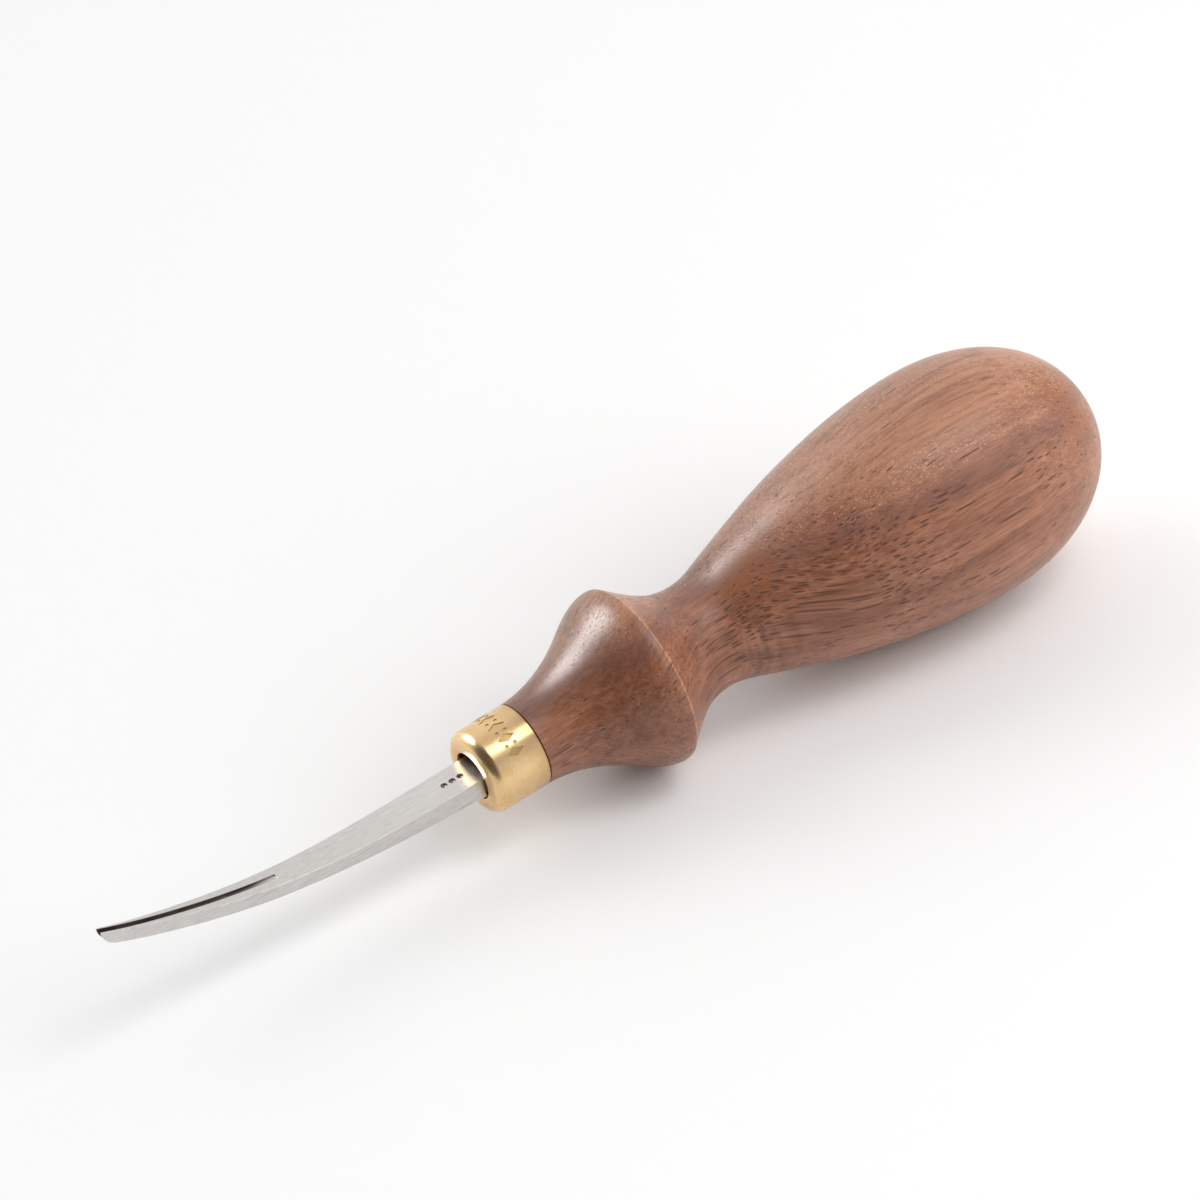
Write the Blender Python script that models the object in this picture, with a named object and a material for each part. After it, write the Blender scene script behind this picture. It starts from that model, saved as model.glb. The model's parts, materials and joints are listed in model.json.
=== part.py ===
"""Leather edge beveler: a curved, grooved steel blade in a brass ferrule and a turned walnut handle.

Run with: blender --background --python part.py

Each piece is drawn about the turning axis: local +X runs from the ferrule's front face to the tip,
local +Z is the side that the blade curves up to, and the handle lies at negative X. One empty then
lays the whole tool on its bulb and its collar, with the tip up. Dimensions are in millimetres.
"""

import math

import bmesh
import bpy
from mathutils import Vector

MM = 0.001

# clearance that is left between two pieces that touch
GAP = 0.3

# ferrule
FERRULE_RADIUS = 5.13
FERRULE_LENGTH = 7.05
FERRULE_BORE = 4.2
FERRULE_FRONT_WALL = 1.6
FERRULE_ROUNDING = 1.3
MOUTH_RADIUS = 2.92
MOUTH_EDGE_BREAK = 0.12

# handle, measured back from the ferrule's front face: (distance, radius, slope)
HANDLE_LENGTH = 85.8
SHOULDER = FERRULE_LENGTH + GAP
COLLAR_FRONT = [
    (SHOULDER, FERRULE_RADIUS, 0.03),
    (17.5, 8.68, 0.68),
    (22.2, 10.93, 0.12),
    (23.1, 10.88, -0.22),
]
COLLAR_BACK = [(23.1, 10.88, -0.9), (27.6, 7.5, -0.55), (31.8, 6.55, 0.0)]
BULB_FRONT = [
    (31.8, 6.55, 0.0),
    (35.6, 7.37, 0.36),
    (44.0, 10.14, 0.32),
    (54.0, 12.64, 0.2),
    (67.0, 13.98, 0.0),
]
BULB_END_FULLNESS = 2.12
TENON_RADIUS = FERRULE_BORE - GAP
TANG_BORE_RADIUS = 3.2
TANG_BORE_DEPTH = 37.0

# blade, measured forward from the ferrule's front face: (distance, value, slope)
BLADE_LENGTH = 48.6
BLADE_TOP = [(0.0, 1.03, 0.017), (24.0, 2.4, 0.15), (36.0, 5.19, 0.306), (BLADE_LENGTH, 9.83, 0.46)]
BLADE_THICKNESS = [(0.0, 2.6, -0.035), (27.0, 1.72, 0.0), (BLADE_LENGTH, 1.72, 0.0)]
BLADE_WIDTH_AT_FERRULE = 4.7
BLADE_WIDTH_AT_TIP = 1.16
WIDTH_CURVATURE = 0.8
EDGE_BREAK = 0.1
TIP_ROUNDING = 1.45

# groove along the blade's concave face
GROOVE_WIDTH = 0.8
GROOVE_START = 26.3
GROOVE_DEPTH_AT_START = 0.14
GROOVE_DEPTH_AT_TIP = 0.8

# tang, the blade's hidden end
SHOULDER_DEPTH = 5.0
TANG_LENGTH = 33.0
TANG_WIDTH = 3.0
TANG_THICKNESS = 2.0
TANG_TAPER = 0.8
TANG_HEIGHT = -0.2

# adhesive that fills the bore around the tang
ADHESIVE_FRONT = 7.0

TURNED_SEGMENTS = 64


def curve_through(stations, distance):
    """Value at a distance along a smooth curve through (distance, value, slope) stations."""
    last = len(stations) - 2
    index = min(last, sum(1 for station in stations[1:-1] if distance > station[0]))
    start, start_value, start_slope = stations[index]
    end, end_value, end_slope = stations[index + 1]
    span = end - start
    t = (distance - start) / span
    return (
        (2 * t**3 - 3 * t**2 + 1) * start_value
        + (t**3 - 2 * t**2 + t) * span * start_slope
        + (3 * t**2 - 2 * t**3) * end_value
        + (t**3 - t**2) * span * end_slope
    )


def spread(start, end, count):
    """Evenly spaced distances from start to end, both included."""
    return [start + (end - start) * step / count for step in range(count + 1)]


def new_material(name, colour, roughness, metallic):
    material = bpy.data.materials.new(name)
    material.use_nodes = True
    shader = material.node_tree.nodes["Principled BSDF"]
    shader.inputs["Base Color"].default_value = (*colour, 1.0)
    shader.inputs["Roughness"].default_value = roughness
    shader.inputs["Metallic"].default_value = metallic
    material.diffuse_color = (*colour, 1.0)
    return material


def add_object(name, bm, parent, material, smooth_angle):
    bmesh.ops.recalc_face_normals(bm, faces=bm.faces)
    mesh = bpy.data.meshes.new(name)
    bm.to_mesh(mesh)
    bm.free()
    mesh.shade_smooth()
    mesh.set_sharp_from_angle(angle=math.radians(smooth_angle))
    mesh.materials.append(material)
    piece = bpy.data.objects.new(name, mesh)
    piece.parent = parent
    bpy.context.scene.collection.objects.link(piece)
    return piece


def turn(outline, closed):
    """Spin an outline of (distance back, radius) points about the turning axis."""
    bm = bmesh.new()
    points = [bm.verts.new((-back * MM, 0.0, radius * MM)) for back, radius in outline]
    edges = [bm.edges.new(pair) for pair in zip(points, points[1:])]
    if closed:
        edges.append(bm.edges.new((points[-1], points[0])))
    bmesh.ops.spin(
        bm,
        geom=points + edges,
        cent=(0.0, 0.0, 0.0),
        axis=(1.0, 0.0, 0.0),
        angle=2 * math.pi,
        steps=TURNED_SEGMENTS,
        use_merge=True,
    )
    bmesh.ops.remove_doubles(bm, verts=bm.verts, dist=0.001 * MM)
    return bm


def loft(sections):
    """Join equal rings of points into one closed skin with flat end caps."""
    bm = bmesh.new()
    rings = [[bm.verts.new(Vector(point) * MM) for point in section] for section in sections]
    size = len(rings[0])
    for ring, following in zip(rings, rings[1:]):
        for corner in range(size):
            after = (corner + 1) % size
            bm.faces.new((ring[corner], ring[after], following[after], following[corner]))
    bm.faces.new(rings[0])
    bm.faces.new(rings[-1])
    return bm


def box_section(distance, width, top, bottom):
    side = width / 2
    corners = ((-side, bottom), (side, bottom), (side, top), (-side, top))
    return [(distance, across, height) for across, height in corners]


def eased_section(distance, width, top, bottom):
    """Box section with its four corners broken by a small flat."""
    corners = [Vector(corner) for corner in box_section(distance, width, top, bottom)]
    section = []
    for corner, following in zip(corners, corners[1:] + corners[:1]):
        along = (following - corner).normalized() * EDGE_BREAK
        section += [corner + along, following - along]
    return section


# --- handle -------------------------------------------------------------------------------------


def bulb_end(count):
    """Rounded end of the bulb, from its widest ring to the pole, as a slightly squared ellipse."""
    widest, radius, _ = BULB_FRONT[-1]
    length = HANDLE_LENGTH - widest
    power = 2 / BULB_END_FULLNESS
    outline = []
    for step in range(1, count + 1):
        angle = math.pi / 2 * step / count
        back = widest + length * math.sin(angle) ** power
        outline.append((back, radius * max(0.0, math.cos(angle)) ** power if step < count else 0.0))
    return outline


def make_handle(parent):
    front = FERRULE_FRONT_WALL + GAP
    outline = [
        (TANG_BORE_DEPTH, 0.0),
        (TANG_BORE_DEPTH, TANG_BORE_RADIUS),
        (front, TANG_BORE_RADIUS),
        (front, TENON_RADIUS),
        (SHOULDER, TENON_RADIUS),
    ]
    for stations, rings in ((COLLAR_FRONT, 18), (COLLAR_BACK, 8), (BULB_FRONT, 16)):
        distances = spread(stations[0][0], stations[-1][0], rings)
        if stations is not COLLAR_FRONT:
            distances = distances[1:]
        outline += [(back, curve_through(stations, back)) for back in distances]
    outline += bulb_end(14)
    walnut = new_material("walnut", (0.23, 0.105, 0.058), 0.42, 0.0)
    return add_object("handle", turn(outline, closed=False), parent, walnut, 35)


# --- ferrule ------------------------------------------------------------------------------------


def make_ferrule(parent):
    outline = [
        (FERRULE_FRONT_WALL, MOUTH_RADIUS),
        (MOUTH_EDGE_BREAK, MOUTH_RADIUS),
        (0.0, MOUTH_RADIUS + MOUTH_EDGE_BREAK),
    ]
    for angle in spread(0.0, math.pi / 2, 7):
        back = FERRULE_ROUNDING * (1 - math.cos(angle))
        outline.append((back, FERRULE_RADIUS - FERRULE_ROUNDING * (1 - math.sin(angle))))
    outline += [
        (FERRULE_LENGTH, FERRULE_RADIUS),
        (FERRULE_LENGTH, FERRULE_BORE),
        (FERRULE_FRONT_WALL, FERRULE_BORE),
    ]
    brass = new_material("brass", (0.79, 0.58, 0.27), 0.24, 1.0)
    return add_object("ferrule", turn(outline, closed=True), parent, brass, 35)


# --- blade --------------------------------------------------------------------------------------


def blade_width(distance):
    part = distance / BLADE_LENGTH
    narrowing = (1 - WIDTH_CURVATURE) * part + WIDTH_CURVATURE * part**2
    return BLADE_WIDTH_AT_FERRULE - (BLADE_WIDTH_AT_FERRULE - BLADE_WIDTH_AT_TIP) * narrowing


def blade_bottom(distance):
    """Height of the underside, which rounds up to the cutting edge over the last stretch."""
    bottom = curve_through(BLADE_TOP, distance) - curve_through(BLADE_THICKNESS, distance)
    past = distance - (BLADE_LENGTH - TIP_ROUNDING)
    if past > 0:
        bottom += TIP_ROUNDING - math.sqrt(max(0.0, TIP_ROUNDING**2 - past**2))
    return bottom


def groove_depth(distance):
    part = (distance - GROOVE_START) / (BLADE_LENGTH - GROOVE_START)
    return GROOVE_DEPTH_AT_START + (GROOVE_DEPTH_AT_TIP - GROOVE_DEPTH_AT_START) * part


def make_groove_cutter(parent):
    """Bar that follows the concave face and reaches one groove depth into it."""
    clear = 1.0
    sections = []
    for distance in spread(GROOVE_START, BLADE_LENGTH + clear, 18):
        top = curve_through(BLADE_TOP, distance)
        sections.append(box_section(distance, GROOVE_WIDTH, top + clear, top - groove_depth(distance)))
    steel = bpy.data.materials["tool_steel"]
    cutter = add_object("groove_cutter", loft(sections), parent, steel, 35)
    cutter.hide_render = True
    cutter.display_type = "WIRE"
    return cutter


def make_blade(parent):
    root_top = curve_through(BLADE_TOP, 0.0)
    half = TANG_THICKNESS / 2
    end_half = half * TANG_TAPER
    sections = [
        eased_section(-TANG_LENGTH, TANG_WIDTH * TANG_TAPER, TANG_HEIGHT + end_half, TANG_HEIGHT - end_half),
        eased_section(-SHOULDER_DEPTH - GAP, TANG_WIDTH, TANG_HEIGHT + half, TANG_HEIGHT - half),
        eased_section(-SHOULDER_DEPTH, BLADE_WIDTH_AT_FERRULE, root_top, blade_bottom(0.0)),
    ]
    rounding_start = BLADE_LENGTH - TIP_ROUNDING
    distances = spread(0.0, rounding_start, 36)
    turns = spread(0.0, math.pi / 2, 7)[1:]
    distances += [rounding_start + TIP_ROUNDING * math.sin(angle) for angle in turns]
    for distance in distances:
        top = curve_through(BLADE_TOP, distance)
        sections.append(eased_section(distance, blade_width(distance), top, blade_bottom(distance)))
    steel = new_material("tool_steel", (0.6, 0.59, 0.57), 0.34, 1.0)
    blade = add_object("blade", loft(sections), parent, steel, 25)
    groove = blade.modifiers.new("groove", "BOOLEAN")
    groove.operation = "DIFFERENCE"
    groove.solver = "EXACT"
    groove.object = make_groove_cutter(parent)
    return blade


# --- adhesive -----------------------------------------------------------------------------------


def make_tang_adhesive(parent):
    """Plug that fills the bore behind the shoulder, with a pocket of the tang's shape."""
    radius = TANG_BORE_RADIUS - GAP
    outline = [
        (TANG_BORE_DEPTH - GAP, 0.0),
        (TANG_BORE_DEPTH - GAP, radius),
        (ADHESIVE_FRONT, radius),
        (ADHESIVE_FRONT, 0.0),
    ]
    epoxy = new_material("cured_epoxy", (0.62, 0.55, 0.38), 0.5, 0.0)
    plug = add_object("tang_adhesive", turn(outline, closed=False), parent, epoxy, 35)
    width = TANG_WIDTH + 2 * GAP
    half = TANG_THICKNESS / 2 + GAP
    sections = [
        box_section(-TANG_LENGTH - GAP, width, TANG_HEIGHT + half, TANG_HEIGHT - half),
        box_section(-ADHESIVE_FRONT + GAP, width, TANG_HEIGHT + half, TANG_HEIGHT - half),
    ]
    pocket = add_object("tang_pocket_cutter", loft(sections), parent, epoxy, 35)
    pocket.hide_render = True
    pocket.display_type = "WIRE"
    cut = plug.modifiers.new("tang_pocket", "BOOLEAN")
    cut.operation = "DIFFERENCE"
    cut.solver = "EXACT"
    cut.object = pocket
    return plug


# --- assembly -----------------------------------------------------------------------------------


def resting_pitch():
    """Angle that lays the turned body on its bulb and its collar together."""
    collar_at, collar_radius, _ = COLLAR_FRONT[2]
    bulb_at, bulb_radius, _ = BULB_FRONT[-1]
    return math.asin((bulb_radius - collar_radius) / (bulb_at - collar_at))


def stand_on_origin(tool, pieces):
    """Move the tool so that the bottom centre of its bounding box is the origin."""
    bpy.context.view_layer.update()
    depsgraph = bpy.context.evaluated_depsgraph_get()
    corners = []
    for piece in pieces:
        shaped = piece.evaluated_get(depsgraph)
        corners += [shaped.matrix_world @ vertex.co for vertex in shaped.data.vertices]
    low = [min(corner[axis] for corner in corners) for axis in range(3)]
    high = [max(corner[axis] for corner in corners) for axis in range(3)]
    tool.location -= Vector(((low[0] + high[0]) / 2, (low[1] + high[1]) / 2, low[2]))
    bpy.context.view_layer.update()


def main():
    for leftover in list(bpy.data.objects):
        bpy.data.objects.remove(leftover, do_unlink=True)
    tool = bpy.data.objects.new("tool_axis", None)
    bpy.context.scene.collection.objects.link(tool)
    tool.rotation_euler = (0.0, resting_pitch(), 0.0)
    pieces = [make_handle(tool), make_ferrule(tool), make_blade(tool), make_tang_adhesive(tool)]
    stand_on_origin(tool, pieces)


main()
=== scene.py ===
import json
import math

import bmesh
import bpy
from mathutils import Matrix, Vector


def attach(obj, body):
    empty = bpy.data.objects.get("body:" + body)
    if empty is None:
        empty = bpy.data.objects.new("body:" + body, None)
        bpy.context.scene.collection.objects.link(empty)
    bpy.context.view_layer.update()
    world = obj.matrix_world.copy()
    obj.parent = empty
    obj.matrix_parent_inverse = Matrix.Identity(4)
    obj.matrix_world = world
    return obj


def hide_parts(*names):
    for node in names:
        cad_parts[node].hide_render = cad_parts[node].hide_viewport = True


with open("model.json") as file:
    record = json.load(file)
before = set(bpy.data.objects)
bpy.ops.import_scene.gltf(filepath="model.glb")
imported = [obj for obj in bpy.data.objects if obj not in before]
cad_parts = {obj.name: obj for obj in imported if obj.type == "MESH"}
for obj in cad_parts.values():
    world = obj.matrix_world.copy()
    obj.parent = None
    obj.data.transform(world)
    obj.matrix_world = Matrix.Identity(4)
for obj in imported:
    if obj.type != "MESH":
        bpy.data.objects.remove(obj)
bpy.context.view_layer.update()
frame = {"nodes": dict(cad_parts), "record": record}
mm = 0.001

# The tool's own axes, from the mount on the front of the ferrule:
# +X along the turning axis to the tip, +Z the side that the blade curves up to.
frontMount = frame["record"]["mounts"][0]
toTip = Vector(frontMount["axis"]).normalized()
ferruleFront = Vector((frontMount["pos_m"][0], 0.0, frontMount["pos_m"][2]))
across = Vector((0.0, 0.0, 1.0)).cross(toTip).normalized()
toolFrame = Matrix((toTip, across, toTip.cross(across))).transposed().to_4x4()
toolFrame.translation = ferruleFront


# helpers for meshes, used by every piece

def curveThrough(stations, distance):
    # smooth curve through (distance, value, slope) stations
    last = len(stations) - 2
    index = min(last, sum(1 for station in stations[1:-1] if distance > station[0]))
    start, startValue, startSlope = stations[index]
    end, endValue, endSlope = stations[index + 1]
    span = end - start
    t = (distance - start) / span
    return (
        (2 * t**3 - 3 * t**2 + 1) * startValue
        + (t**3 - 2 * t**2 + t) * span * startSlope
        + (3 * t**2 - 2 * t**3) * endValue
        + (t**3 - t**2) * span * endSlope
    )


def spread(start, end, count):
    return [start + (end - start) * step / count for step in range(count + 1)]


def turnOutline(outline, segments, closed):
    # outline of (distance back, radius) points in mm, spun about the turning axis
    bm = bmesh.new()
    points = [bm.verts.new((-back, 0.0, radius)) for back, radius in outline]
    edges = [bm.edges.new(pair) for pair in zip(points, points[1:])]
    if closed:
        edges.append(bm.edges.new((points[-1], points[0])))
    bmesh.ops.spin(bm, geom=points + edges, cent=(0, 0, 0), axis=(1, 0, 0), angle=2 * math.pi,
                   steps=segments, use_merge=True)
    bmesh.ops.remove_doubles(bm, verts=bm.verts, dist=0.0005)
    return bm


def loftSections(sections):
    bm = bmesh.new()
    rings = [[bm.verts.new(point) for point in section] for section in sections]
    size = len(rings[0])
    for ring, following in zip(rings, rings[1:]):
        for corner in range(size):
            after = (corner + 1) % size
            bm.faces.new((ring[corner], ring[after], following[after], following[corner]))
    bm.faces.new(rings[0])
    bm.faces.new(rings[-1])
    return bm


def boxCorners(distance, width, top, bottom):
    side = width / 2
    corners = ((-side, bottom), (side, bottom), (side, top), (-side, top))
    return [(distance, across, up) for across, up in corners]


def makePiece(name, bm, material, sharpAngle=40):
    # mesh drawn in mm in the tool's axes, stored in metres in the row frame
    bmesh.ops.recalc_face_normals(bm, faces=bm.faces)
    bm.transform(toolFrame @ Matrix.Scale(mm, 4))
    mesh = bpy.data.meshes.new(name)
    bm.to_mesh(mesh)
    bm.free()
    mesh.shade_smooth()
    mesh.set_sharp_from_angle(angle=math.radians(sharpAngle))
    mesh.materials.append(material)
    piece = bpy.data.objects.new(name, mesh)
    bpy.context.scene.collection.objects.link(piece)
    return piece


def carve(piece, cutter, sharpAngle=40):
    # cuts the cutter's shape out of the piece; the cut faces keep the cutter's material
    cut = piece.modifiers.new("cut", "BOOLEAN")
    cut.operation = "DIFFERENCE"
    cut.solver = "EXACT"
    cut.material_mode = "TRANSFER"
    cut.object = cutter
    depsgraph = bpy.context.evaluated_depsgraph_get()
    carved = bpy.data.meshes.new_from_object(piece.evaluated_get(depsgraph))
    piece.modifiers.remove(cut)
    piece.data = carved
    carved.shade_smooth()
    carved.set_sharp_from_angle(angle=math.radians(sharpAngle))
    bpy.data.objects.remove(cutter, do_unlink=True)


def finishPiece(piece, nodeName):
    normals = piece.modifiers.new("even_shading", "WEIGHTED_NORMAL")
    normals.keep_sharp = True
    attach(piece, "root")
    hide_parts(nodeName)


# helpers for shader nodes, used by every material

def addNode(tree, kind, inputs=None, **settings):
    made = tree.nodes.new("ShaderNode" + kind)
    for key, value in settings.items():
        setattr(made, key, value)
    for key, value in (inputs or {}).items():
        socket = made.inputs[key]
        if isinstance(value, bpy.types.NodeSocket):
            tree.links.new(value, socket)
        else:
            socket.default_value = value
    return made


def calc(tree, operation, *values, clamp=False):
    made = addNode(tree, "Math", dict(enumerate(values)), operation=operation, use_clamp=clamp)
    return made.outputs[0]


def remap(tree, value, low, high, toLow=0.0, toHigh=1.0, smooth=True):
    inputs = {"Value": value, "From Min": low, "From Max": high, "To Min": toLow, "To Max": toHigh}
    made = addNode(tree, "MapRange", inputs, interpolation_type="SMOOTHSTEP" if smooth else "LINEAR")
    return made.outputs[0]


def blendColour(tree, factor, first, second, mode="MIX"):
    made = addNode(tree, "Mix", {0: factor, 6: first, 7: second}, data_type="RGBA", blend_type=mode)
    return made.outputs[2]


def rampColour(tree, factor, stops):
    made = addNode(tree, "ValToRGB", {"Fac": factor})
    elements = made.color_ramp.elements
    while len(elements) < len(stops):
        elements.new(0.5)
    for element, (place, colour) in zip(elements, stops):
        element.position = place
        element.color = (*colour, 1.0)
    return made.outputs[0]


def stretched(tree, vector, scale):
    made = addNode(tree, "VectorMath", {0: vector, 1: scale}, operation="MULTIPLY")
    return made.outputs[0]


def noise(tree, vector, scale=1.0, detail=2.0, roughness=0.5):
    inputs = {"Vector": vector, "Scale": scale, "Detail": detail, "Roughness": roughness}
    return addNode(tree, "TexNoise", inputs).outputs[0]


def newGroup(name, inputs, outputs):
    group = bpy.data.node_groups.new(name, "ShaderNodeTree")
    for label, kind, value in inputs:
        socket = group.interface.new_socket(label, in_out="INPUT", socket_type=kind)
        if value is not None:
            socket.default_value = value
    for label, kind in outputs:
        group.interface.new_socket(label, in_out="OUTPUT", socket_type=kind)
    start = group.nodes.new("NodeGroupInput")
    end = group.nodes.new("NodeGroupOutput")
    return group, start.outputs, end.inputs


def useGroup(tree, group, **inputs):
    made = tree.nodes.new("ShaderNodeGroup")
    made.node_tree = group
    for key, value in inputs.items():
        socket = made.inputs[key.replace("_", " ")]
        if isinstance(value, bpy.types.NodeSocket):
            tree.links.new(value, socket)
        else:
            socket.default_value = value
    return made.outputs


def newMaterial(name, metallic, specular=0.5):
    material = bpy.data.materials.new(name)
    material.use_nodes = True
    tree = material.node_tree
    shader = tree.nodes["Principled BSDF"]
    shader.inputs["Metallic"].default_value = metallic
    shader.inputs["Specular IOR Level"].default_value = specular
    return material, tree, shader


def setInputs(tree, shader, inputs):
    for key, value in inputs.items():
        if isinstance(value, bpy.types.NodeSocket):
            tree.links.new(value, shader.inputs[key])
        else:
            shader.inputs[key].default_value = value


def bump(tree, height, depth, strength=1.0):
    # depth is the real height of the relief, in mm
    made = addNode(tree, "Bump", {"Height": height, "Distance": depth * mm, "Strength": strength})
    return made.outputs[0]


# shader groups that several materials share

def buildToolSpace():
    # position in mm along the tool's own axes, and the distance from the turning axis
    group, start, end = newGroup("tool_space", [], [
        ("Position", "NodeSocketVector"), ("Along", "NodeSocketFloat"), ("Across", "NodeSocketFloat"),
        ("Up", "NodeSocketFloat"), ("Radius", "NodeSocketFloat"), ("Around", "NodeSocketVector")])
    seen = addNode(group, "TexCoord").outputs["Object"]
    placed = addNode(group, "Mapping", {
        "Vector": seen,
        "Location": toolFrame.translation,
        "Rotation": toolFrame.to_euler(),
        "Scale": (mm, mm, mm),
    }, vector_type="TEXTURE").outputs[0]
    parts = addNode(group, "SeparateXYZ", {0: placed}).outputs
    crossPart = addNode(group, "CombineXYZ", {1: parts[1], 2: parts[2]}).outputs[0]
    radius = addNode(group, "VectorMath", {0: crossPart}, operation="LENGTH").outputs["Value"]
    around = addNode(group, "VectorMath", {0: crossPart}, operation="NORMALIZE").outputs[0]
    for label, value in (("Position", placed), ("Along", parts[0]), ("Across", parts[1]), ("Up", parts[2]),
                         ("Radius", radius), ("Around", around)):
        group.links.new(value, end[label])
    return group


def buildFineLines():
    # fine scratches: even along the strokes, quick across them, in two sizes that fade in and out
    group, start, end = newGroup("fine_lines", [
        ("Vector", "NodeSocketVector", None), ("Coverage", "NodeSocketFloat", 0.5)], [
        ("Height", "NodeSocketFloat"), ("Mask", "NodeSocketFloat")])
    fine = noise(group, start["Vector"], 1.0, 4.0, 0.65)
    coarse = noise(group, stretched(group, start["Vector"], (0.31, 0.8, 0.8)), 1.0, 1.0, 0.4)
    patches = noise(group, stretched(group, start["Vector"], (0.02, 0.7, 0.7)), 1.0, 2.0, 0.5)
    low = calc(group, "SUBTRACT", 0.78, calc(group, "MULTIPLY", start["Coverage"], 0.4))
    deep = remap(group, coarse, low, calc(group, "ADD", low, 0.08))
    deep = calc(group, "MULTIPLY", deep, remap(group, patches, 0.35, 0.6))
    height = calc(group, "SUBTRACT", fine, calc(group, "MULTIPLY", deep, 0.5))
    group.links.new(height, end["Height"])
    group.links.new(deep, end["Mask"])
    return group


def buildHandling():
    # soft smears left by fingers and polishing, and small specks
    group, start, end = newGroup("handling_marks", [
        ("Position", "NodeSocketVector", None), ("Smear Size", "NodeSocketFloat", 4.0),
        ("Speck Spacing", "NodeSocketFloat", 2.0), ("Speck Size", "NodeSocketFloat", 0.08)], [
        ("Smears", "NodeSocketFloat"), ("Specks", "NodeSocketFloat")])
    perSmear = calc(group, "DIVIDE", 1.0, start["Smear Size"])
    smears = addNode(group, "TexNoise", {"Vector": start["Position"], "Scale": perSmear, "Detail": 3.0,
                                         "Roughness": 0.55, "Distortion": 0.6}).outputs[0]
    perSpeck = calc(group, "DIVIDE", 1.0, start["Speck Spacing"])
    cells = addNode(group, "TexVoronoi", {"Vector": start["Position"], "Scale": perSpeck})
    chosen = addNode(group, "SeparateColor", {0: cells.outputs["Color"]}).outputs[0]
    reach = calc(group, "MULTIPLY", calc(group, "MULTIPLY", start["Speck Size"], perSpeck),
                 remap(group, chosen, 0.45, 1.0))
    specks = calc(group, "LESS_THAN", cells.outputs["Distance"], reach)
    group.links.new(remap(group, smears, 0.3, 0.7), end["Smears"])
    group.links.new(specks, end["Specks"])
    return group


toolSpace = buildToolSpace()
fineLines = buildFineLines()
handlingMarks = buildHandling()
print("shader groups ready")


# walnut handle

walnutHandle = {
    "length": 85.8,
    "shoulder": 7.15,
    "collarFront": [(7.15, 5.12, 0.03), (17.5, 8.68, 0.68), (22.2, 10.93, 0.12), (23.1, 10.88, -0.22)],
    "creaseEase": 0.05,
    "collarBack": [(23.1, 10.88, -0.9), (27.6, 7.5, -0.55), (31.8, 6.55, 0.0)],
    "bulb": [
        (31.8, 6.55, 0.0),
        (35.6, 7.37, 0.36),
        (44.0, 10.14, 0.32),
        (54.0, 12.64, 0.2),
        (67.0, 13.98, 0.0),
    ],
    "bulbFullness": 2.12,
    "tenonRadius": 3.9,
    "tenonFront": 1.9,
    "boreRadius": 3.2,
    "boreDepth": 37.0,
    "segments": 192,
}
walnutLook = {
    "dark": (0.17, 0.060, 0.030),
    "middle": (0.345, 0.136, 0.073),
    "light": (0.52, 0.235, 0.138),
    "amber": (0.32, 0.10, 0.026),
    "plum": (0.225, 0.105, 0.086),
    "pore": (0.085, 0.026, 0.013),
    "fleck": (0.72, 0.40, 0.21),
    "gold": (0.55, 0.265, 0.15),
    "deep": (0.19, 0.055, 0.018),
    "pith": (27.0, -30.0),          # across and up, mm from the turning axis
    "ringSpacing": 9.5,
    "ringEdge": 44.4,               # one ring's edge, mm from the pith
    "bandPlace": 43.3,              # a darker band through the bulb, mm from the pith
    "bandWidth": 2.2,
    "crowdedPlaces": [(-46.5, 8.5, 4.0, 12.5), (-36.0, 6.0, 4.0, 8.0)],
    "grainSwing": (0.0, 4.9, -2.2),     # how far the grain swings aside at the neck, mm
    # places are along, across, up and size
    "amberSpots": [(-37.5, 2.6, 7.4, 5.5), (-80.2, 4.7, 9.2, 5.0), (-80.8, 8.0, 5.8, 4.5)],
    # deep spots are painted darker: partly darker wood, partly painted shade on the hip's front cone, the
    # collar's back and the bulb by the neck
    "deepSpots": [(-17.0, 6.5, 3.5, 8.5), (-27.5, 6.0, 1.0, 7.0), (-46.0, 8.5, 3.5, 11.0)],
    "ripplePlace": (-34.5, 7.2, -1.0, 8.0),
    "frontDarkening": 0.105,
    "roughness": 0.38,
    "coat": 0.25,
    "poreDepth": 0.05,
}


def walnutOutline(facts):
    outline = [
        (facts["boreDepth"], 0.0),
        (facts["boreDepth"], facts["boreRadius"]),
        (facts["tenonFront"] + 0.15, facts["boreRadius"]),
        (facts["tenonFront"], facts["boreRadius"] + 0.15),
        (facts["tenonFront"], facts["tenonRadius"]),
        (facts["shoulder"], facts["tenonRadius"]),
        (facts["shoulder"], facts["collarFront"][0][1] - 0.08),
    ]
    for key, spacing in (("collarFront", 0.2), ("collarBack", 0.15), ("bulb", 0.5)):
        stations = facts[key]
        start, end = stations[0][0], stations[-1][0]
        distances = spread(start, end, round((end - start) / spacing))
        if key == "collarFront":
            distances[0] += 0.06      # the small eased edge behind the ferrule
            distances[-1:] = [end - facts["creaseEase"]]
        elif key == "collarBack":
            outline.append((start, stations[0][1] - facts["creaseEase"] * 0.3))
            distances[0] += facts["creaseEase"]
        else:
            distances = distances[1:]
        outline += [(back, curveThrough(stations, back)) for back in distances]
    widest, radius, _ = facts["bulb"][-1]
    power = 2 / facts["bulbFullness"]
    steps = 56
    for step in range(1, steps):
        angle = math.pi / 2 * step / steps
        back = widest + (facts["length"] - widest) * math.sin(angle) ** power
        outline.append((back, radius * math.cos(angle) ** power))
    outline.append((facts["length"], 0.0))
    return outline


def softSpot(tree, position, spot):
    # 1 in the middle of a spot (along, across, up, size), fading to 0 at its edge
    away = addNode(tree, "VectorMath", {0: position, 1: spot[:3]}, operation="DISTANCE").outputs["Value"]
    return remap(tree, away, spot[3], spot[3] * 0.15)


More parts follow.
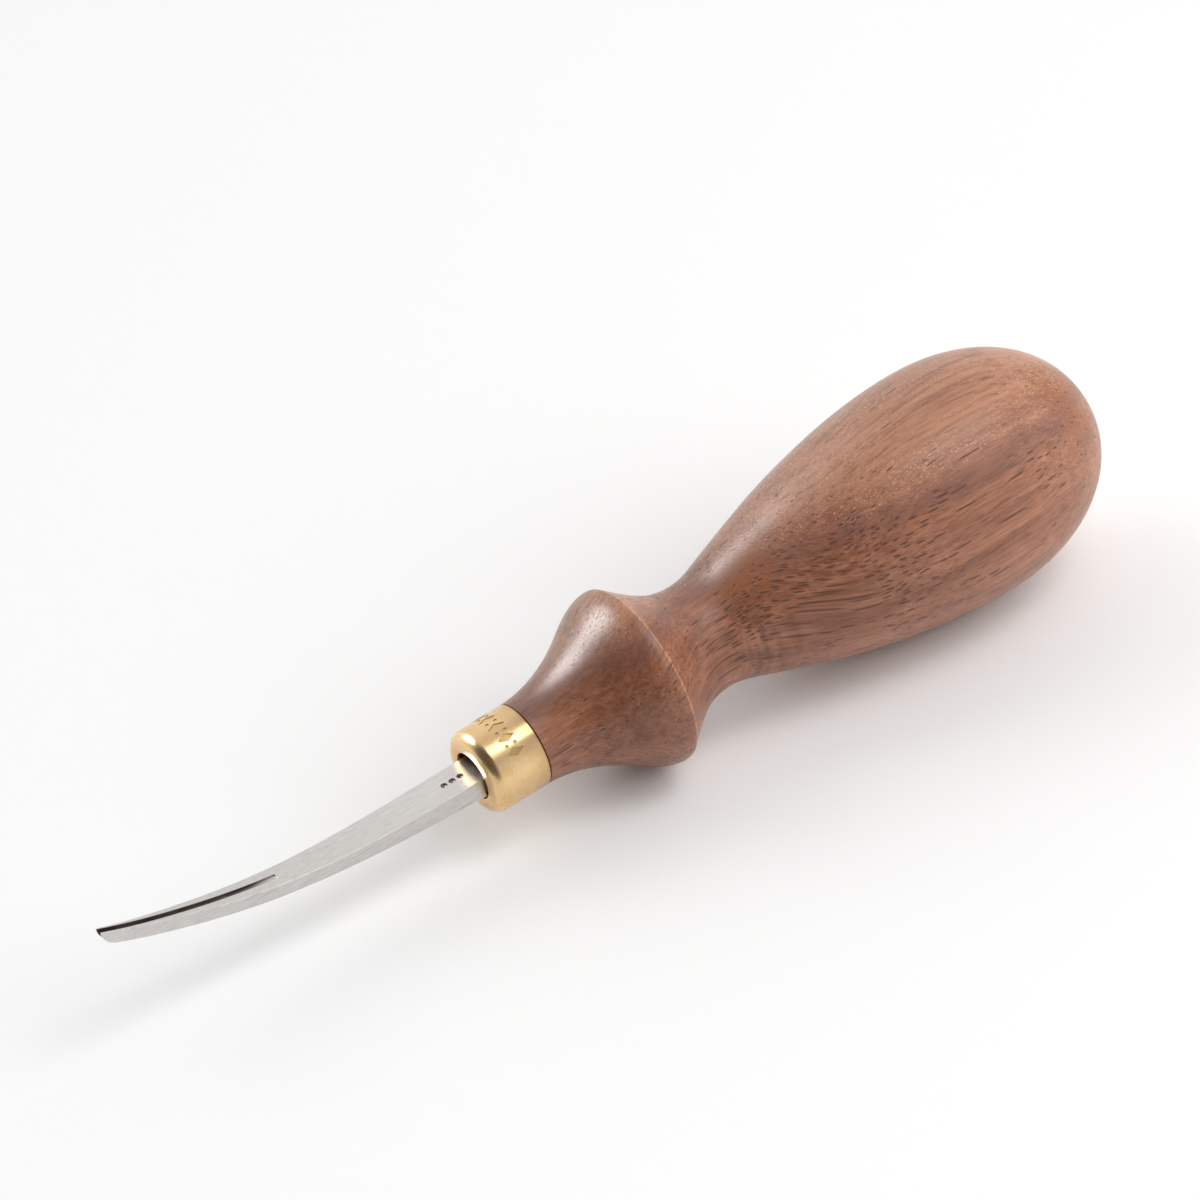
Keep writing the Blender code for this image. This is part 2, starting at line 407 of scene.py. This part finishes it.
def poreLayer(tree, grain, crowding, perMm, reach, breaks):
    # vessels run the length of the wood, so the turned surface cuts them into dashes, lines or dots
    parts = addNode(tree, "SeparateXYZ", {0: grain}).outputs
    section = addNode(tree, "CombineXYZ", {0: parts[1], 1: parts[2]}).outputs[0]
    cells = addNode(tree, "TexVoronoi", {"Vector": section, "Scale": perMm}, voronoi_dimensions="2D")
    chosen = addNode(tree, "SeparateColor", {0: cells.outputs["Color"]}).outputs[1]
    along = noise(tree, stretched(tree, grain, (breaks, perMm * 0.6, perMm * 0.6)), 1.0, 1.0, 0.5)
    present = calc(tree, "ADD", calc(tree, "MULTIPLY", chosen, 0.5), calc(tree, "MULTIPLY", along, 0.9))
    present = remap(tree, calc(tree, "ADD", present, crowding), 0.98, 1.16)
    size = calc(tree, "MULTIPLY", present, reach)
    return remap(tree, calc(tree, "SUBTRACT", size, cells.outputs["Distance"]), 0.0, 0.07)


def walnutMaterial(look, facts):
    material, tree, shader = newMaterial("oiled_walnut", 0.0)
    space = useGroup(tree, toolSpace)
    # the grain wanders slowly, and swings aside at the neck
    wander = addNode(tree, "TexNoise", {"Vector": stretched(tree, space["Position"], (0.02, 0.05, 0.05)),
                                        "Scale": 1.0, "Detail": 2.0}).outputs["Color"]
    wander = addNode(tree, "VectorMath", {0: wander, 1: (0.5, 0.5, 0.5)}, operation="SUBTRACT").outputs[0]
    wander = stretched(tree, wander, (0.0, 5.0, 5.0))
    swing = calc(tree, "MULTIPLY", remap(tree, space["Along"], -50.0, -34.0),
                 remap(tree, space["Along"], -17.0, -31.0))
    swing = addNode(tree, "VectorMath", {0: look["grainSwing"], "Scale": swing},
                    operation="SCALE").outputs[0]
    grain = addNode(tree, "VectorMath", {0: space["Position"], 1: wander}, operation="ADD").outputs[0]
    ringPoint = addNode(tree, "VectorMath", {0: grain, 1: stretched(tree, swing, (0.3, 0.3, 0.3))},
                        operation="ADD").outputs[0]
    grain = addNode(tree, "VectorMath", {0: grain, 1: swing}, operation="ADD").outputs[0]
    # growth rings about a pith that lies well outside the handle
    fromPith = addNode(tree, "VectorMath", {0: ringPoint, 1: (0.0, *look["pith"])},
                       operation="SUBTRACT").outputs[0]
    fromPith = stretched(tree, fromPith, (0.0, 1.0, 1.0))
    fromPith = addNode(tree, "VectorMath", {0: fromPith}, operation="LENGTH").outputs["Value"]
    fromEdge = calc(tree, "SUBTRACT", fromPith, look["ringEdge"])
    ringCount = calc(tree, "DIVIDE", fromEdge, look["ringSpacing"])
    ringPart = calc(tree, "FRACT", calc(tree, "ADD", ringCount, 10.0))
    lateWood = calc(tree, "MULTIPLY", remap(tree, ringPart, 0.70, 0.90), remap(tree, ringPart, 1.0, 0.955))
    earlyWood = calc(tree, "MULTIPLY", remap(tree, ringPart, 0.02, 0.2), remap(tree, ringPart, 0.86, 0.62))
    # fibres, in three widths
    broad = noise(tree, stretched(tree, grain, (0.02, 0.35, 0.35)), 1.0, 2.0, 0.5)
    streaks = noise(tree, stretched(tree, grain, (0.05, 1.7, 1.7)), 1.0, 3.0, 0.6)
    hairs = noise(tree, stretched(tree, grain, (0.35, 4.2, 4.2)), 1.0, 3.0, 0.7)
    tone = calc(tree, "ADD", calc(tree, "MULTIPLY", broad, 0.44), calc(tree, "MULTIPLY", streaks, 0.42))
    tone = calc(tree, "ADD", tone, calc(tree, "MULTIPLY", hairs, 0.62))
    tone = calc(tree, "SUBTRACT", tone, 0.74)
    # curl: soft bars across the grain, strongest below the neck
    bars = noise(tree, stretched(tree, space["Position"], (0.8, 0.16, 0.16)), 1.0, 2.0, 0.5)
    curl = calc(tree, "MULTIPLY", calc(tree, "SUBTRACT", bars, 0.5),
                calc(tree, "ADD", 0.10, softSpot(tree, space["Position"], look["ripplePlace"])))
    tone = calc(tree, "ADD", tone, calc(tree, "MULTIPLY", curl, 0.95))
    band = calc(tree, "ABSOLUTE", calc(tree, "SUBTRACT", fromPith, look["bandPlace"]))
    band = calc(tree, "MULTIPLY", remap(tree, band, look["bandWidth"], 0.3),
                remap(tree, streaks, 0.3, 0.6, 1.0, 0.6))
    tone = calc(tree, "SUBTRACT", tone, calc(tree, "MULTIPLY", lateWood, 0.05))
    tone = calc(tree, "SUBTRACT", tone, calc(tree, "MULTIPLY", band, 0.02))
    tone = calc(tree, "SUBTRACT", tone,
                remap(tree, space["Along"], -50.0, -34.0, 0.0, look["frontDarkening"]))
    colour = rampColour(tree, calc(tree, "ADD", tone, 0.5),
                        [(0.25, look["dark"]), (0.5, look["middle"]), (0.75, look["light"])])
    colour = blendColour(tree, calc(tree, "MULTIPLY", band, 0.45), colour, (*look["plum"], 1.0))
    # the outer rings are painted golden and lighter: partly golden wood, partly a painted highlight on the
    # bulb's upper side
    goldenWoodAndSheen = calc(tree, "MULTIPLY", remap(tree, fromPith, 45.2, 48.5),
                    remap(tree, streaks, 0.3, 0.6, 0.1, 0.5))
    colour = blendColour(tree, goldenWoodAndSheen, colour, (*look["gold"], 1.0))
    # deep spots are partly darker wood and partly painted shade; amber spots are the wood's own colour
    for shade, most in (("deep", 0.8), ("amber", 1.0)):
        for spot in look[shade + "Spots"]:
            mask = calc(tree, "MULTIPLY", softSpot(tree, space["Position"], spot),
                        remap(tree, streaks, 0.3, 0.6, most, most * 0.4))
            colour = blendColour(tree, mask, colour, (*look[shade], 1.0))
    # open pores, crowded in the early wood
    patches = noise(tree, stretched(tree, space["Position"], (0.05, 0.12, 0.12)), 1.0, 2.0, 0.5)
    crowding = calc(tree, "ADD", calc(tree, "MULTIPLY", earlyWood, 0.10),
                    remap(tree, patches, 0.35, 0.65, 0.0, 0.2))
    for place in look["crowdedPlaces"]:
        crowded = calc(tree, "MULTIPLY", softSpot(tree, space["Position"], place), 0.42)
        crowding = calc(tree, "ADD", crowding, crowded)
    crowding = calc(tree, "SUBTRACT", crowding, remap(tree, fromPith, 45.0, 47.0, 0.0, 0.12))
    bigPores = poreLayer(tree, grain, calc(tree, "ADD", crowding, 0.03), 2.1, 0.27, 0.3)
    finePores = poreLayer(tree, grain, calc(tree, "ADD", crowding, 0.17), 3.6, 0.27, 0.45)
    pores = calc(tree, "MAXIMUM", bigPores, calc(tree, "MULTIPLY", finePores, 0.45))
    colour = blendColour(tree, calc(tree, "MULTIPLY", pores, 0.78), colour, (*look["pore"], 1.0))
    # small bright flecks of ray tissue on the outer rings
    rays = addNode(tree, "TexVoronoi", {"Vector": stretched(tree, grain, (2.2, 3.4, 3.4)), "Scale": 1.0})
    rayPick = addNode(tree, "SeparateColor", {0: rays.outputs["Color"]}).outputs[2]
    rayZone = calc(tree, "MULTIPLY", remap(tree, fromPith, 42.0, 46.0),
                   remap(tree, patches, 0.36, 0.60, 0.65, 1.0))
    raySize = calc(tree, "MULTIPLY", remap(tree, rayPick, 0.2, 1.0, 0.27, 0.54, smooth=False), rayZone)
    raySize = calc(tree, "MULTIPLY", raySize, calc(tree, "GREATER_THAN", rayPick, 0.2))
    flecks = remap(tree, calc(tree, "SUBTRACT", raySize, rays.outputs["Distance"]), -0.06, 0.2)
    colour = blendColour(tree, calc(tree, "MULTIPLY", flecks, 0.45), colour, (*look["fleck"], 1.0))
    # painted highlight: a thin lighter line is painted along the collar's crease, where its edge catches
    # the light
    creaseDistance = calc(tree, "ABSOLUTE", calc(tree, "ADD", space["Along"], facts["collarBack"][0][0]))
    creaseHighlight = calc(tree, "MULTIPLY", remap(tree, creaseDistance, 0.16, 0.04), remap(tree, streaks, 0.35, 0.55))
    colour = blendColour(tree, calc(tree, "MULTIPLY", creaseHighlight, 0.4), colour, (*look["fleck"], 1.0))
    # dirt settles along the joint with the ferrule
    joint = remap(tree, calc(tree, "ADD", space["Along"], facts["shoulder"]), -0.15, -0.02)
    colour = blendColour(tree, calc(tree, "MULTIPLY", joint, 0.5), colour, (*look["pore"], 1.0))
    marks = useGroup(tree, handlingMarks, Position=space["Position"], Smear_Size=9.0)
    rough = calc(tree, "ADD", look["roughness"], calc(tree, "MULTIPLY", pores, 0.25))
    smears = calc(tree, "SUBTRACT", marks["Smears"], 0.5)
    rough = calc(tree, "ADD", rough, calc(tree, "MULTIPLY", smears, 0.06))
    rough = calc(tree, "ADD", rough, calc(tree, "MULTIPLY", calc(tree, "SUBTRACT", hairs, 0.5), 0.15))
    height = calc(tree, "SUBTRACT", calc(tree, "MULTIPLY", hairs, 0.12), pores)
    setInputs(tree, shader, {
        "Base Color": colour,
        "Roughness": rough,
        "Coat Weight": look["coat"],
        "Coat Roughness": 0.3,
        "Normal": bump(tree, height, look["poreDepth"]),
    })
    return material


walnut = walnutMaterial(walnutLook, walnutHandle)
handleMesh = turnOutline(walnutOutline(walnutHandle), walnutHandle["segments"], False)
handle = makePiece("walnut_handle", handleMesh, walnut)
finishPiece(handle, "handle")
print("walnut handle turned")


# brass ferrule

brassFerrule = {
    "radius": 5.13,
    "length": 7.1,
    "bore": 4.2,
    "frontWall": 1.6,
    "rounding": 1.35,
    "mouth": 2.92,
    "mouthEase": 0.07,
    "backEase": 0.07,
    "segments": 256,
}
ferruleOrnament = {
    "middle": 5.0,          # degrees around from the top, towards +Y
    "lozenges": 5,
    "spacing": 21.0,        # degrees
    "fromFront": 4.0,
    "height": 2.3,
    "width": 1.05,
    "dotSize": 0.46,
    "depth": 0.085,
}
brassLook = {
    "clean": (0.84, 0.59, 0.325),
    "warm": (0.73, 0.475, 0.21),
    "stain": (0.34, 0.19, 0.07),
    "engraved": (0.63, 0.43, 0.195),
    "roughness": 0.19,
}


def ferruleOutline(facts):
    outline = [
        (facts["frontWall"], facts["mouth"]),
        (facts["mouthEase"], facts["mouth"]),
        (facts["mouthEase"] * 0.3, facts["mouth"] + facts["mouthEase"] * 0.3),
        (0.0, facts["mouth"] + facts["mouthEase"]),
    ]
    for angle in spread(0.0, math.pi / 2, 20):
        back = facts["rounding"] * (1 - math.cos(angle))
        outline.append((back, facts["radius"] - facts["rounding"] * (1 - math.sin(angle))))
    outline += [
        (facts["length"] - facts["backEase"], facts["radius"]),
        (facts["length"], facts["radius"] - facts["backEase"]),
        (facts["length"], facts["bore"]),
        (facts["frontWall"], facts["bore"]),
    ]
    return outline


def ornamentCutter(facts, radius):
    # lozenges with a pair of dots between them, standing on the ferrule as shallow prisms
    bm = bmesh.new()
    floor = radius - facts["depth"]
    top = radius + 0.5

    def prism(outline, degrees):
        turn = Matrix.Rotation(math.radians(-degrees), 4, "X")
        placed = [(along - facts["fromFront"], side) for along, side in outline]
        low = [bm.verts.new(turn @ Vector((along, side, floor))) for along, side in placed]
        high = [bm.verts.new(turn @ Vector((along, side, top))) for along, side in placed]
        bm.faces.new(low)
        bm.faces.new(high)
        for corner in range(len(outline)):
            after = (corner + 1) % len(outline)
            bm.faces.new((low[corner], low[after], high[after], high[corner]))

    tall, wide, dot = facts["height"] / 2, facts["width"] / 2, facts["dotSize"] / 2
    dotCircle = [(dot * math.cos(turn), dot * math.sin(turn)) for turn in spread(0, 2 * math.pi, 14)[:-1]]
    for index in range(facts["lozenges"]):
        degrees = facts["middle"] + (index - (facts["lozenges"] - 1) / 2) * facts["spacing"]
        prism([(tall, 0), (0, wide), (-tall, 0), (0, -wide)], degrees)
        if index < facts["lozenges"] - 1:
            for offset in (-0.55, 0.55):
                prism([(along + offset, side) for along, side in dotCircle], degrees + facts["spacing"] / 2)
    return bm


def brassMaterial(name, look, engraved):
    material, tree, shader = newMaterial(name, 1.0)
    space = useGroup(tree, toolSpace)
    # turning lines follow the circumference on the side and on the front ring
    travel = calc(tree, "ADD", space["Along"], space["Radius"])
    lineX = calc(tree, "MULTIPLY", travel, 22.0)
    aroundSlow = stretched(tree, space["Around"], (0.0, 1.3, 1.3))
    lineVector = addNode(tree, "VectorMath", {
        0: aroundSlow,
        1: addNode(tree, "CombineXYZ", {0: lineX}).outputs[0],
    }, operation="ADD").outputs[0]
    lines = useGroup(tree, fineLines, Vector=lineVector, Coverage=0.5)
    marks = useGroup(tree, handlingMarks, Position=space["Position"], Smear_Size=2.6, Speck_Spacing=1.25,
                     Speck_Size=0.11)
    fresh = look["engraved"] if engraved else look["clean"]
    worn = look["stain"] if engraved else look["warm"]
    smears = calc(tree, "MULTIPLY", marks["Smears"], 0.3 if engraved else 0.55)
    colour = blendColour(tree, smears, (*fresh, 1.0), (*worn, 1.0))
    colour = blendColour(tree, calc(tree, "MULTIPLY", marks["Specks"], 0.8), colour, (*look["stain"], 1.0))
    rearEdge = calc(tree, "ADD", remap(tree, space["Along"], -6.7, -7.08, 0.0, 0.3),
                    calc(tree, "MULTIPLY", remap(tree, space["Along"], -4.0, -7.0), 0.24))
    colour = blendColour(tree, rearEdge, colour, (*look["stain"], 1.0))
    rough = calc(tree, "ADD", 0.42 if engraved else look["roughness"],
                 calc(tree, "MULTIPLY", marks["Smears"], 0.1))
    rough = calc(tree, "ADD", rough, calc(tree, "MULTIPLY", marks["Specks"], 0.3))
    rough = calc(tree, "ADD", rough, calc(tree, "MULTIPLY", lines["Mask"], 0.08))
    rough = calc(tree, "ADD", rough, remap(tree, space["Along"], -0.25, -0.05, 0.0, 0.13))
    height = calc(tree, "SUBTRACT", lines["Height"], calc(tree, "MULTIPLY", marks["Specks"], 1.5))
    setInputs(tree, shader, {
        "Base Color": colour,
        "Roughness": rough,
        "Normal": bump(tree, height, 0.004 if engraved else 0.0012),
    })
    return material


brass = brassMaterial("turned_brass", brassLook, False)
engravedBrass = brassMaterial("engraved_brass", brassLook, True)
ferruleMesh = turnOutline(ferruleOutline(brassFerrule), brassFerrule["segments"], True)
ferrule = makePiece("brass_ferrule", ferruleMesh, brass)
ornamentMesh = ornamentCutter(ferruleOrnament, brassFerrule["radius"])
ornament = makePiece("ornament_cutter", ornamentMesh, engravedBrass)
carve(ferrule, ornament)
finishPiece(ferrule, "ferrule")
print("brass ferrule turned and engraved")


# steel blade

steelBlade = {
    "length": 48.6,
    "top": [(0.0, 1.03, 0.017), (24.0, 2.4, 0.15), (36.0, 5.19, 0.306), (48.6, 9.83, 0.46)],
    "thickness": [(0.0, 2.6, -0.035), (27.0, 1.72, 0.0), (48.6, 1.72, 0.0)],
    "widthAtFerrule": 4.7,
    "widthAtTip": 1.16,
    "widthCurvature": 0.8,
    "edgeRounding": 0.11,
    "tipRounding": 1.45,
    "shoulderDepth": 5.0,
    "shoulderStep": 0.3,
    "tangLength": 33.0,
    "tangWidth": 3.0,
    "tangThickness": 2.0,
    "tangTaper": 0.8,
    "tangHeight": -0.2,
}
bladeGroove = {
    "width": 0.8,
    "start": 26.3,
    "depthAtStart": 0.14,
    "depthAtTip": 0.8,
}
punchMarks = {
    "places": (1.5, 2.6, 3.7),
    "radius": 0.42,
    "depth": 0.3,
}
steelLook = {
    "bright": (0.68, 0.655, 0.635),
    "grey": (0.61, 0.585, 0.565),
    "scratch": (0.42, 0.40, 0.385),
    "oxideAndShade": (0.21, 0.175, 0.165),
    "roughness": 0.27,
}


def bladeTop(distance):
    return curveThrough(steelBlade["top"], distance)


def bladeBottom(distance):
    bottom = bladeTop(distance) - curveThrough(steelBlade["thickness"], distance)
    past = distance - (steelBlade["length"] - steelBlade["tipRounding"])
    if past > 0:
        bottom += steelBlade["tipRounding"] - math.sqrt(max(0.0, steelBlade["tipRounding"] ** 2 - past**2))
    return bottom


def bladeWidth(distance):
    part = distance / steelBlade["length"]
    curvature = steelBlade["widthCurvature"]
    narrowing = (1 - curvature) * part + curvature * part**2
    widest = steelBlade["widthAtFerrule"]
    return widest - (widest - steelBlade["widthAtTip"]) * narrowing


def roundedSection(distance, width, top, bottom, rounding, steps=3):
    side = width / 2
    section = []
    corners = ((-side, bottom, 180), (side, bottom, 270), (side, top, 0), (-side, top, 90))
    for across, up, first in corners:
        centreAcross = across - math.copysign(rounding, across)
        centreUp = up + (rounding if up == bottom else -rounding)
        for degrees in spread(first, first + 90, steps):
            turn = math.radians(degrees)
            section.append((distance, centreAcross + rounding * math.cos(turn),
                            centreUp + rounding * math.sin(turn)))
    return section


def bladeMesh(facts):
    half = facts["tangThickness"] / 2
    endHalf = half * facts["tangTaper"]
    height = facts["tangHeight"]
    rounding = facts["edgeRounding"]
    sections = [
        roundedSection(-facts["tangLength"], facts["tangWidth"] * facts["tangTaper"], height + endHalf,
                       height - endHalf, rounding),
        roundedSection(-facts["shoulderDepth"] - facts["shoulderStep"], facts["tangWidth"], height + half,
                       height - half, rounding),
        roundedSection(-facts["shoulderDepth"], facts["widthAtFerrule"], bladeTop(0.0), bladeBottom(0.0),
                       rounding),
    ]
    straightEnd = facts["length"] - facts["tipRounding"]
    distances = spread(0.0, straightEnd, 110)
    turns = spread(0, math.pi / 2, 18)[1:]
    distances += [straightEnd + facts["tipRounding"] * math.sin(turn) for turn in turns]
    for distance in distances:
        sections.append(roundedSection(distance, bladeWidth(distance), bladeTop(distance),
                                       bladeBottom(distance), rounding))
    return loftSections(sections)


def grooveCutter(facts):
    sections = []
    for distance in spread(facts["start"], steelBlade["length"] + 1.0, 48):
        part = (distance - facts["start"]) / (steelBlade["length"] - facts["start"])
        depth = facts["depthAtStart"] + (facts["depthAtTip"] - facts["depthAtStart"]) * part
        top = bladeTop(distance)
        sections.append(boxCorners(distance, facts["width"], top + 1.0, top - depth))
    return loftSections(sections)


def punchCutter(facts):
    bm = bmesh.new()
    for distance in facts["places"]:
        lift = facts["radius"] - facts["depth"]
        place = Matrix.Translation((distance, 0.0, bladeTop(distance) + lift))
        bmesh.ops.create_icosphere(bm, subdivisions=3, radius=facts["radius"], matrix=place)
    return bm


def steelMaterial(name, look, groove):
    material, tree, shader = newMaterial(name, 1.0)
    space = useGroup(tree, toolSpace)
    # ground and polished along the blade, with a few strokes across it
    lengthwise = stretched(tree, space["Position"], (0.7, 6.5, 6.5))
    lines = useGroup(tree, fineLines, Vector=lengthwise, Coverage=0.5)
    slant = addNode(tree, "VectorRotate", {"Vector": space["Position"], "Angle": math.radians(12)},
                    rotation_type="Z_AXIS").outputs[0]
    strokes = useGroup(tree, fineLines, Vector=stretched(tree, slant, (6.0, 0.45, 0.45)), Coverage=0.12)
    marks = useGroup(tree, handlingMarks, Position=space["Position"], Smear_Size=3.2, Speck_Spacing=1.6,
                     Speck_Size=0.05)
    colour = blendColour(tree, calc(tree, "MULTIPLY", marks["Smears"], 0.35), (*look["bright"], 1.0),
                         (*look["grey"], 1.0))
    ground = remap(tree, lines["Height"], 0.3, 0.7, 0.34, 0.0)
    colour = blendColour(tree, ground, colour, (*look["scratch"], 1.0))
    scratch = calc(tree, "MAXIMUM", lines["Mask"], strokes["Mask"])
    colour = blendColour(tree, calc(tree, "MULTIPLY", scratch, 0.3), colour, (*look["scratch"], 1.0))
    specks = calc(tree, "MULTIPLY", marks["Specks"], 0.5)
    colour = blendColour(tree, specks, colour, (*look["scratch"], 1.0))
    rough = calc(tree, "ADD", look["roughness"], calc(tree, "MULTIPLY", marks["Smears"], 0.08))
    rough = calc(tree, "ADD", rough, calc(tree, "MULTIPLY", scratch, 0.12))
    if groove:
        # the ground groove is painted dark, partly oxide and partly painted shade in the recess, and
        # brighter where it runs out shallow
        runOut = remap(tree, space["Along"], 30.0, 26.2, 0.0, 0.75)
        runOut = calc(tree, "MULTIPLY", runOut, calc(tree, "GREATER_THAN", space["Along"], 15.0))
        stain = calc(tree, "SUBTRACT", 1.0, runOut)
        stain = calc(tree, "MULTIPLY", stain, remap(tree, marks["Smears"], 0.0, 1.0, 1.0, 0.85))
        colour = blendColour(tree, stain, colour, (*look["oxideAndShade"], 1.0))
        rough = calc(tree, "ADD", rough, 0.15)
    setInputs(tree, shader, {
        "Base Color": colour,
        "Roughness": rough,
        "Normal": bump(tree, calc(tree, "ADD", lines["Height"], strokes["Height"]), 0.0035),
    })
    return material


steel = steelMaterial("satin_ground_steel", steelLook, False)
grooveSteel = steelMaterial("oxidised_and_shaded_groove_steel", steelLook, True)
blade = makePiece("steel_blade", bladeMesh(steelBlade), steel)
carve(blade, makePiece("groove_cutter", grooveCutter(bladeGroove), grooveSteel))
# the punch dents take the groove's finish, painted dark: partly oxide, partly painted shade in the dents
carve(blade, makePiece("punch_cutter", punchCutter(punchMarks), grooveSteel))
finishPiece(blade, "blade")
print("steel blade ground, grooved and marked")


# cured adhesive around the tang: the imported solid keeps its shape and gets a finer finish

epoxyLook = {
    "amber": (0.52, 0.40, 0.20),
    "cloudy": (0.70, 0.62, 0.44),
    "roughness": 0.42,
}


def epoxyMaterial(look):
    material, tree, shader = newMaterial("cured_epoxy_fill", 0.0)
    space = useGroup(tree, toolSpace)
    marks = useGroup(tree, handlingMarks, Position=space["Position"], Smear_Size=2.0, Speck_Spacing=0.7,
                     Speck_Size=0.12)
    colour = blendColour(tree, marks["Smears"], (*look["amber"], 1.0), (*look["cloudy"], 1.0))
    colour = blendColour(tree, calc(tree, "MULTIPLY", marks["Specks"], 0.5), colour, (*look["cloudy"], 1.0))
    ripple = noise(tree, space["Position"], 1.4, 3.0, 0.5)
    height = calc(tree, "SUBTRACT", ripple, calc(tree, "MULTIPLY", marks["Specks"], 0.6))
    setInputs(tree, shader, {
        "Base Color": colour,
        "Roughness": calc(tree, "ADD", look["roughness"], calc(tree, "MULTIPLY", marks["Smears"], 0.15)),
        "Normal": bump(tree, height, 0.08),
    })
    return material


adhesive = frame["nodes"]["tang_adhesive"]
adhesive.data.materials.clear()
adhesive.data.materials.append(epoxyMaterial(epoxyLook))
print("adhesive finished")


# floor, light and camera

studio = {
    "floorSize": 6.0,
    "floorColour": (0.95, 0.95, 0.95),
    "surround": (1.0, 0.995, 0.99),
    "surroundLight": 0.94,
    "ceilingLight": 0.75,
    "dimLight": 0.11,               # the unlit side of the room, in front of the tool
    "dimDirection": (0.70, 0.46, 0.54),
    # name: direction, distance, size, power, whether it lights, whether it glints
    "softboxes": {
        "window_softbox": ((0.36, -0.71, 0.60), 0.82, 0.44, 0.7, True, True),
        "glint_softbox": ((0.36, -0.71, 0.60), 0.80, 0.44, 6.0, False, True),
        "top_softbox": ((-0.31, 0.26, 0.91), 0.80, 0.38, 0.95, True, True),
        "fill_softbox": ((-0.53, 0.53, 0.67), 1.00, 1.00, 5.4, True, False),
    },
}
camera = {
    "focus": (-0.0018, -0.0009, 0.0230),
    "azimuth": 59.8,       # degrees from +X towards +Y, to where the camera stands
    "elevation": 38.74,
    "roll": -8.38,
    "distance": 1.2,
    "lens": 324.0,
}


def buildFloor(facts):
    bm = bmesh.new()
    half = facts["floorSize"] / 2
    corners = ((-half, -half, 0), (half, -half, 0), (half, half, 0), (-half, half, 0))
    bm.faces.new([bm.verts.new(corner) for corner in corners])
    mesh = bpy.data.meshes.new("studio_floor")
    bm.to_mesh(mesh)
    bm.free()
    material, tree, shader = newMaterial("pale_floor", 0.0, 0.3)
    setInputs(tree, shader, {"Base Color": (*facts["floorColour"], 1.0), "Roughness": 0.7})
    mesh.materials.append(material)
    floor = bpy.data.objects.new("studio_floor", mesh)
    bpy.context.scene.collection.objects.link(floor)


def addSoftLight(name, direction, distance, size, power, lights, glints):
    lamp = bpy.data.lights.new(name, "AREA")
    lamp.shape = "DISK"
    lamp.size = size
    lamp.energy = power
    light = bpy.data.objects.new(name, lamp)
    away = Vector(direction).normalized()
    light.location = away * distance
    light.rotation_euler = away.to_track_quat("Z", "Y").to_euler()
    light.visible_diffuse = lights
    light.visible_glossy = glints
    bpy.context.scene.collection.objects.link(light)


def buildSurround(facts):
    # an even white room that falls off to the dim side and a little overhead
    world = bpy.data.worlds.new("studio_surround")
    world.use_nodes = True
    tree = world.node_tree
    direction = addNode(tree, "TexCoord").outputs["Generated"]
    facing = addNode(tree, "VectorMath", {0: direction, 1: Vector(facts["dimDirection"]).normalized()},
                     operation="DOT_PRODUCT").outputs["Value"]
    background = tree.nodes["Background"]
    background.inputs["Color"].default_value = (*facts["surround"], 1.0)
    walls = remap(tree, facing, 0.25, 0.82, facts["surroundLight"], facts["dimLight"])
    height = addNode(tree, "SeparateXYZ", {0: direction}).outputs[2]
    ceiling = remap(tree, height, 0.72, 0.95, 1.0, facts["ceilingLight"])
    tree.links.new(calc(tree, "MULTIPLY", walls, ceiling), background.inputs["Strength"])
    bpy.context.scene.world = world


def addCamera(facts):
    turn = math.radians(facts["azimuth"])
    lift = math.radians(facts["elevation"])
    away = Vector((math.cos(turn) * math.cos(lift), math.sin(turn) * math.cos(lift), math.sin(lift)))
    lens = bpy.data.cameras.new("studio_camera")
    lens.lens = facts["lens"]
    lens.sensor_width = 36.0
    view = bpy.data.objects.new("studio_camera", lens)
    aim = away.to_track_quat("Z", "Y").to_matrix().to_4x4()
    view.matrix_world = (Matrix.Translation(Vector(facts["focus"]) + away * facts["distance"]) @ aim
                         @ Matrix.Rotation(math.radians(facts["roll"]), 4, "Z"))
    bpy.context.scene.collection.objects.link(view)
    bpy.context.scene.camera = view


buildFloor(studio)
for name, placing in studio["softboxes"].items():
    addSoftLight(name, *placing)
buildSurround(studio)
bpy.context.scene.view_settings.view_transform = "Standard"
addCamera(camera)
print("studio ready")
